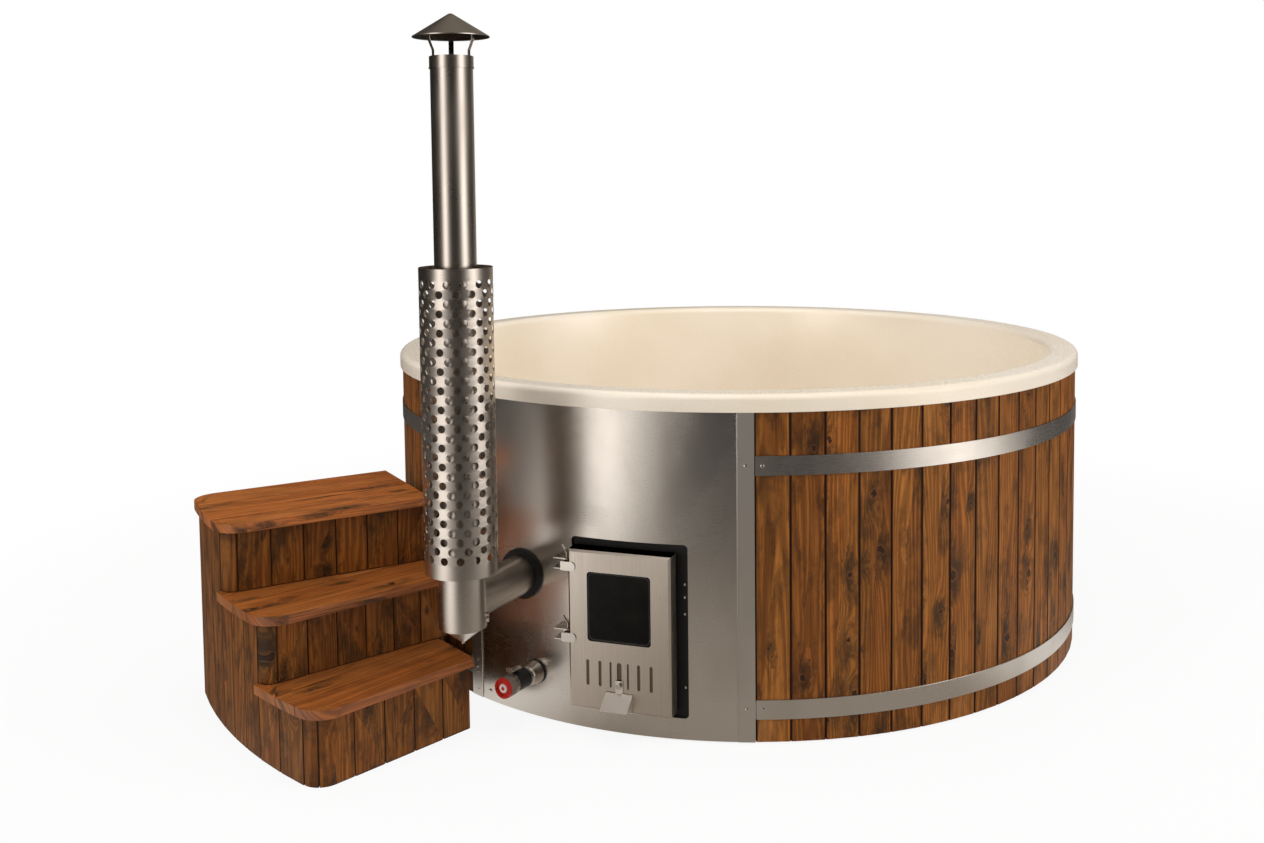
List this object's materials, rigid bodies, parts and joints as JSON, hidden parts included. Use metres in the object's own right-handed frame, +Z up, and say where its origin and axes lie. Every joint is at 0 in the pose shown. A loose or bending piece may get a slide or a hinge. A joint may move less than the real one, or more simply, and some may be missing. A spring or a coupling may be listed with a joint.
{
  "type": "wood-fired hot tub with steps",
  "caption": "Round timber-clad hot tub with a moulded liner, a steel front with a wood furnace door, an outside chimney with heat guard, a drain valve and curved steps.",
  "frame": {"origin": "on the floor, under the tub's vertical axis", "axes": "+Z up; -Y points out of the furnace door, towards the person who feeds the fire; +X is that person's right, so the steps and the chimney stand at -X"},
  "size_m": [2.5802, 2.9659, 2.035],
  "materials": {
    "stained_wood": "stained softwood boards, satin, knotty",
    "raw_wood": "planed softwood, untreated",
    "liner": "moulded shell, glossy cream",
    "stainless": "stainless sheet, brushed",
    "inner_steel": "stainless sheet, darkened by use",
    "black_frame": "heat-proof paint, matt black",
    "cast_iron": "raw",
    "black_rubber": "matt black",
    "rope": "woven mineral cord",
    "dark_glass": "heat-proof glass, sooted dark",
    "black_plastic": "matt black",
    "red_plastic": "satin red"
  },
  "bodies": {
    "tub": {"carrier_rings": "raw_wood", "frame_posts": "raw_wood", "base_frame": "raw_wood", "liner_shell": "liner", "liner_floor": "liner", "bench_seat": "liner", "heater_fence": "raw_wood", "staves_right": "stained_wood", "staves_back": "stained_wood", "staves_left": "stained_wood", "hoop_upper": "stainless", "hoop_lower": "stainless", "hoop_screws": "stainless", "front_panel": "stainless", "panel_battens": "raw_wood", "panel_strip_left": "stainless", "panel_strip_right": "stainless", "panel_rivets": "stainless", "furnace_body": "inner_steel", "furnace_seals": "black_rubber", "flange_bolts": "stainless", "furnace_frame": "black_frame", "fire_grate": "cast_iron", "ash_tray": "inner_steel", "smoke_baffle": "inner_steel", "hinge_ears": "stainless", "hinge_pins": "stainless", "flue_collar_ring": "black_rubber", "flue_tee": "stainless", "condensate_cup": "stainless", "chimney_pipe": "stainless", "pipe_top_band": "stainless", "heat_guard": "stainless", "guard_spacers": "stainless", "cap_cone": "stainless", "cap_legs": "stainless", "drain_gasket": "black_rubber", "drain_tube": "stainless", "drain_strainer": "stainless", "valve_body": "black_plastic", "drain_coupling": "stainless", "tread_lower": "stained_wood", "tread_middle": "stained_wood", "tread_upper": "stained_wood", "step_risers": "stained_wood", "step_side_wall": "stained_wood", "step_frame": "raw_wood"},
    "furnace_door": {"door_shell": "stainless", "door_back_plate": "inner_steel", "door_rope_seal": "rope", "door_glass": "dark_glass", "glass_retainer": "stainless", "door_hinge_lugs": "stainless", "door_catch": "stainless"},
    "air_damper": {"air_shutter": "inner_steel", "shutter_stud": "stainless", "shutter_handle": "stainless"},
    "drain_lever": {"valve_ball": "stainless", "valve_lever": "stainless"},
    "drain_plug": {"drain_cap": "red_plastic"}
  },
  "joints": [
    {"name": "door_hinge", "type": "hinge", "parent": "tub", "child": "furnace_door", "pos_m": [-0.165, -1.21, 0.4], "axis": [0, 0, -1], "range_deg": [0, 100]},
    {"name": "damper_slide", "type": "slide", "parent": "furnace_door", "child": "air_damper", "axis": [0, 0, 1], "range_m": [0, 0.04]},
    {"name": "drain_lever_turn", "type": "hinge", "parent": "tub", "child": "drain_lever", "pos_m": [-0.31056, -1.23639, 0.14], "axis": [0, 0, 1], "range_deg": [0, 90]},
    {"name": "drain_plug_pull", "type": "slide", "parent": "tub", "child": "drain_plug", "axis": [-0.2436, -0.9699, 0], "range_m": [0, 0.06]}
  ]
}
